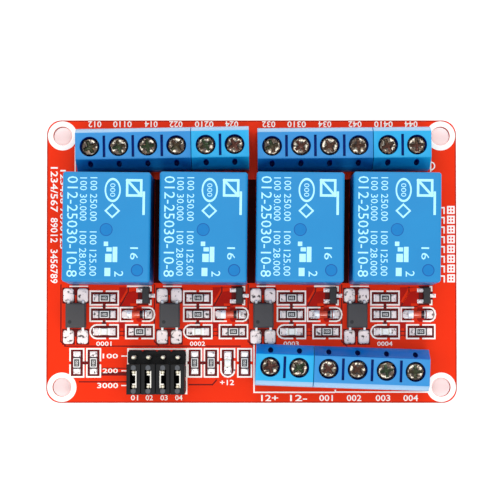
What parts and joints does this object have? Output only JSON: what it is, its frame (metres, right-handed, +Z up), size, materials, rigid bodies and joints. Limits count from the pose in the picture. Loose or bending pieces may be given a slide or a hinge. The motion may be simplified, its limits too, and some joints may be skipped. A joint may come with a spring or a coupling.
{
  "type": "relay module board",
  "caption": "Red circuit board with blue relay cubes, rising-clamp screw terminals, a jumper header and small driver parts, for switching loads from logic signals.",
  "frame": {"origin": "middle of the mounting-hole pattern on the board's underside", "axes": "+X along the board's long side, +Y towards the output terminals, +Z up out of the board"},
  "size_m": [0.0724, 0.05, 0.0189],
  "materials": {
    "circuit_board": "red solder mask over glass-fibre board",
    "relay_case": "glossy blue moulding",
    "terminal_plastic": "blue moulding with a soft gloss",
    "screw_plate": "yellowish nickel plate",
    "clamp_steel": "bright zinc plate",
    "tinned_copper": "dull tin",
    "tinned_brass": "dull tin over brass",
    "header_plastic": "black moulding",
    "jumper_plastic": "black moulding with a metal clip inside",
    "gilt_pin": "thin gold plate",
    "chip_moulding": "grey moulding compound",
    "black_moulding": "black moulding compound",
    "resistor_chip": "ceramic chip with a black film and tinned ends",
    "led_lens": "milky lens on a white base",
    "diode_glass": "clear glass with metal ends"
  },
  "bodies": {
    "module": {"board": "circuit_board", "chip_resistors": "resistor_chip", "diodes": "diode_glass", "header_base": "header_plastic", "header_pins": "gilt_pin", "leds": "led_lens", "optocouplers": "chip_moulding", "relay_1": "relay_case", "relay_2": "relay_case", "relay_3": "relay_case", "relay_4": "relay_case", "relay_pins": "tinned_copper", "terminal_block_input_a": "terminal_plastic", "terminal_block_input_b": "terminal_plastic", "terminal_block_left_a": "terminal_plastic", "terminal_block_left_b": "terminal_plastic", "terminal_block_right_a": "terminal_plastic", "terminal_block_right_b": "terminal_plastic", "terminal_contacts": "tinned_brass", "transistors": "black_moulding"},
    "screw_left_1": {"terminal_screw_left_1": "screw_plate"},
    "clamp_left_1": {"wire_clamp_left_1": "clamp_steel"},
    "screw_left_2": {"terminal_screw_left_2": "screw_plate"},
    "clamp_left_2": {"wire_clamp_left_2": "clamp_steel"},
    "screw_left_3": {"terminal_screw_left_3": "screw_plate"},
    "clamp_left_3": {"wire_clamp_left_3": "clamp_steel"},
    "screw_left_4": {"terminal_screw_left_4": "screw_plate"},
    "clamp_left_4": {"wire_clamp_left_4": "clamp_steel"},
    "screw_left_5": {"terminal_screw_left_5": "screw_plate"},
    "clamp_left_5": {"wire_clamp_left_5": "clamp_steel"},
    "screw_left_6": {"terminal_screw_left_6": "screw_plate"},
    "clamp_left_6": {"wire_clamp_left_6": "clamp_steel"},
    "screw_right_1": {"terminal_screw_right_1": "screw_plate"},
    "clamp_right_1": {"wire_clamp_right_1": "clamp_steel"},
    "screw_right_2": {"terminal_screw_right_2": "screw_plate"},
    "clamp_right_2": {"wire_clamp_right_2": "clamp_steel"},
    "screw_right_3": {"terminal_screw_right_3": "screw_plate"},
    "clamp_right_3": {"wire_clamp_right_3": "clamp_steel"},
    "screw_right_4": {"terminal_screw_right_4": "screw_plate"},
    "clamp_right_4": {"wire_clamp_right_4": "clamp_steel"},
    "screw_right_5": {"terminal_screw_right_5": "screw_plate"},
    "clamp_right_5": {"wire_clamp_right_5": "clamp_steel"},
    "screw_right_6": {"terminal_screw_right_6": "screw_plate"},
    "clamp_right_6": {"wire_clamp_right_6": "clamp_steel"},
    "screw_input_1": {"terminal_screw_input_1": "screw_plate"},
    "clamp_input_1": {"wire_clamp_input_1": "clamp_steel"},
    "screw_input_2": {"terminal_screw_input_2": "screw_plate"},
    "clamp_input_2": {"wire_clamp_input_2": "clamp_steel"},
    "screw_input_3": {"terminal_screw_input_3": "screw_plate"},
    "clamp_input_3": {"wire_clamp_input_3": "clamp_steel"},
    "screw_input_4": {"terminal_screw_input_4": "screw_plate"},
    "clamp_input_4": {"wire_clamp_input_4": "clamp_steel"},
    "screw_input_5": {"terminal_screw_input_5": "screw_plate"},
    "clamp_input_5": {"wire_clamp_input_5": "clamp_steel"},
    "screw_input_6": {"terminal_screw_input_6": "screw_plate"},
    "clamp_input_6": {"wire_clamp_input_6": "clamp_steel"},
    "jumper_1": {"jumper_1": "jumper_plastic"},
    "jumper_2": {"jumper_2": "jumper_plastic"},
    "jumper_3": {"jumper_3": "jumper_plastic"},
    "jumper_4": {"jumper_4": "jumper_plastic"}
  },
  "joints": [
    {"name": "screw_left_1_turn", "type": "hinge", "parent": "module", "child": "screw_left_1", "pos_m": [-0.02805, 0.0195, 0.00955], "axis": [0, 0, -1], "range_deg": [0, 1620]},
    {"name": "clamp_left_1_lift", "type": "slide", "parent": "module", "child": "clamp_left_1", "axis": [0, 0, 1], "range_m": [0, 0.00202]},
    {"name": "screw_left_2_turn", "type": "hinge", "parent": "module", "child": "screw_left_2", "pos_m": [-0.02305, 0.01959, 0.00955], "axis": [0, 0, -1], "range_deg": [0, 1620]},
    {"name": "clamp_left_2_lift", "type": "slide", "parent": "module", "child": "clamp_left_2", "axis": [0, 0, 1], "range_m": [0, 0.00202]},
    {"name": "screw_left_3_turn", "type": "hinge", "parent": "module", "child": "screw_left_3", "pos_m": [-0.01805, 0.01968, 0.00955], "axis": [0, 0, -1], "range_deg": [0, 1620]},
    {"name": "clamp_left_3_lift", "type": "slide", "parent": "module", "child": "clamp_left_3", "axis": [0, 0, 1], "range_m": [0, 0.00202]},
    {"name": "screw_left_4_turn", "type": "hinge", "parent": "module", "child": "screw_left_4", "pos_m": [-0.01305, 0.01976, 0.00955], "axis": [0, 0, -1], "range_deg": [0, 1620]},
    {"name": "clamp_left_4_lift", "type": "slide", "parent": "module", "child": "clamp_left_4", "axis": [0, 0, 1], "range_m": [0, 0.00202]},
    {"name": "screw_left_5_turn", "type": "hinge", "parent": "module", "child": "screw_left_5", "pos_m": [-0.00795, 0.01985, 0.00955], "axis": [0, 0, -1], "range_deg": [0, 1620]},
    {"name": "clamp_left_5_lift", "type": "slide", "parent": "module", "child": "clamp_left_5", "axis": [0, 0, 1], "range_m": [0, 0.00202]},
    {"name": "screw_left_6_turn", "type": "hinge", "parent": "module", "child": "screw_left_6", "pos_m": [-0.00295, 0.01994, 0.00955], "axis": [0, 0, -1], "range_deg": [0, 1620]},
    {"name": "clamp_left_6_lift", "type": "slide", "parent": "module", "child": "clamp_left_6", "axis": [0, 0, 1], "range_m": [0, 0.00202]},
    {"name": "screw_right_1_turn", "type": "hinge", "parent": "module", "child": "screw_right_1", "pos_m": [0.00355, 0.01964, 0.00955], "axis": [0, 0, -1], "range_deg": [0, 1620]},
    {"name": "clamp_right_1_lift", "type": "slide", "parent": "module", "child": "clamp_right_1", "axis": [0, 0, 1], "range_m": [0, 0.00202]},
    {"name": "screw_right_2_turn", "type": "hinge", "parent": "module", "child": "screw_right_2", "pos_m": [0.00855, 0.01968, 0.00955], "axis": [0, 0, -1], "range_deg": [0, 1620]},
    {"name": "clamp_right_2_lift", "type": "slide", "parent": "module", "child": "clamp_right_2", "axis": [0, 0, 1], "range_m": [0, 0.00202]},
    {"name": "screw_right_3_turn", "type": "hinge", "parent": "module", "child": "screw_right_3", "pos_m": [0.01355, 0.01973, 0.00955], "axis": [0, 0, -1], "range_deg": [0, 1620]},
    {"name": "clamp_right_3_lift", "type": "slide", "parent": "module", "child": "clamp_right_3", "axis": [0, 0, 1], "range_m": [0, 0.00202]},
    {"name": "screw_right_4_turn", "type": "hinge", "parent": "module", "child": "screw_right_4", "pos_m": [0.01855, 0.01977, 0.00955], "axis": [0, 0, -1], "range_deg": [0, 1620]},
    {"name": "clamp_right_4_lift", "type": "slide", "parent": "module", "child": "clamp_right_4", "axis": [0, 0, 1], "range_m": [0, 0.00202]},
    {"name": "screw_right_5_turn", "type": "hinge", "parent": "module", "child": "screw_right_5", "pos_m": [0.02365, 0.01982, 0.00955], "axis": [0, 0, -1], "range_deg": [0, 1620]},
    {"name": "clamp_right_5_lift", "type": "slide", "parent": "module", "child": "clamp_right_5", "axis": [0, 0, 1], "range_m": [0, 0.00202]},
    {"name": "screw_right_6_turn", "type": "hinge", "parent": "module", "child": "screw_right_6", "pos_m": [0.02865, 0.01986, 0.00955], "axis": [0, 0, -1], "range_deg": [0, 1620]},
    {"name": "clamp_right_6_lift", "type": "slide", "parent": "module", "child": "clamp_right_6", "axis": [0, 0, 1], "range_m": [0, 0.00202]},
    {"name": "screw_input_1_turn", "type": "hinge", "parent": "module", "child": "screw_input_1", "pos_m": [0.02829, -0.01944, 0.00955], "axis": [0, 0, -1], "range_deg": [0, 1620]},
    {"name": "clamp_input_1_lift", "type": "slide", "parent": "module", "child": "clamp_input_1", "axis": [0, 0, 1], "range_m": [0, 0.00202]},
    {"name": "screw_input_2_turn", "type": "hinge", "parent": "module", "child": "screw_input_2", "pos_m": [0.0233, -0.01926, 0.00955], "axis": [0, 0, -1], "range_deg": [0, 1620]},
    {"name": "clamp_input_2_lift", "type": "slide", "parent": "module", "child": "clamp_input_2", "axis": [0, 0, 1], "range_m": [0, 0.00202]},
    {"name": "screw_input_3_turn", "type": "hinge", "parent": "module", "child": "screw_input_3", "pos_m": [0.0183, -0.01909, 0.00955], "axis": [0, 0, -1], "range_deg": [0, 1620]},
    {"name": "clamp_input_3_lift", "type": "slide", "parent": "module", "child": "clamp_input_3", "axis": [0, 0, 1], "range_m": [0, 0.00202]},
    {"name": "screw_input_4_turn", "type": "hinge", "parent": "module", "child": "screw_input_4", "pos_m": [0.0133, -0.01891, 0.00955], "axis": [0, 0, -1], "range_deg": [0, 1620]},
    {"name": "clamp_input_4_lift", "type": "slide", "parent": "module", "child": "clamp_input_4", "axis": [0, 0, 1], "range_m": [0, 0.00202]},
    {"name": "screw_input_5_turn", "type": "hinge", "parent": "module", "child": "screw_input_5", "pos_m": [0.0082, -0.01874, 0.00955], "axis": [0, 0, -1], "range_deg": [0, 1620]},
    {"name": "clamp_input_5_lift", "type": "slide", "parent": "module", "child": "clamp_input_5", "axis": [0, 0, 1], "range_m": [0, 0.00202]},
    {"name": "screw_input_6_turn", "type": "hinge", "parent": "module", "child": "screw_input_6", "pos_m": [0.00321, -0.01856, 0.00955], "axis": [0, 0, -1], "range_deg": [0, 1620]},
    {"name": "clamp_input_6_lift", "type": "slide", "parent": "module", "child": "clamp_input_6", "axis": [0, 0, 1], "range_m": [0, 0.00202]},
    {"name": "jumper_1_pull", "type": "slide", "parent": "module", "child": "jumper_1", "axis": [0, 0, 1], "range_m": [0, 0.007]},
    {"name": "jumper_2_pull", "type": "slide", "parent": "module", "child": "jumper_2", "axis": [0, 0, 1], "range_m": [0, 0.007]},
    {"name": "jumper_3_pull", "type": "slide", "parent": "module", "child": "jumper_3", "axis": [0, 0, 1], "range_m": [0, 0.007]},
    {"name": "jumper_4_pull", "type": "slide", "parent": "module", "child": "jumper_4", "axis": [0, 0, 1], "range_m": [0, 0.007]}
  ],
  "couplings": [
    {"joint": "screw_left_1_turn", "follows": "clamp_left_1_lift", "rad_per_m": 13963},
    {"joint": "screw_left_2_turn", "follows": "clamp_left_2_lift", "rad_per_m": 13963},
    {"joint": "screw_left_3_turn", "follows": "clamp_left_3_lift", "rad_per_m": 13963},
    {"joint": "screw_left_4_turn", "follows": "clamp_left_4_lift", "rad_per_m": 13963},
    {"joint": "screw_left_5_turn", "follows": "clamp_left_5_lift", "rad_per_m": 13963},
    {"joint": "screw_left_6_turn", "follows": "clamp_left_6_lift", "rad_per_m": 13963},
    {"joint": "screw_right_1_turn", "follows": "clamp_right_1_lift", "rad_per_m": 13963},
    {"joint": "screw_right_2_turn", "follows": "clamp_right_2_lift", "rad_per_m": 13963},
    {"joint": "screw_right_3_turn", "follows": "clamp_right_3_lift", "rad_per_m": 13963},
    {"joint": "screw_right_4_turn", "follows": "clamp_right_4_lift", "rad_per_m": 13963},
    {"joint": "screw_right_5_turn", "follows": "clamp_right_5_lift", "rad_per_m": 13963},
    {"joint": "screw_right_6_turn", "follows": "clamp_right_6_lift", "rad_per_m": 13963},
    {"joint": "screw_input_1_turn", "follows": "clamp_input_1_lift", "rad_per_m": 13963},
    {"joint": "screw_input_2_turn", "follows": "clamp_input_2_lift", "rad_per_m": 13963},
    {"joint": "screw_input_3_turn", "follows": "clamp_input_3_lift", "rad_per_m": 13963},
    {"joint": "screw_input_4_turn", "follows": "clamp_input_4_lift", "rad_per_m": 13963},
    {"joint": "screw_input_5_turn", "follows": "clamp_input_5_lift", "rad_per_m": 13963},
    {"joint": "screw_input_6_turn", "follows": "clamp_input_6_lift", "rad_per_m": 13963}
  ]
}
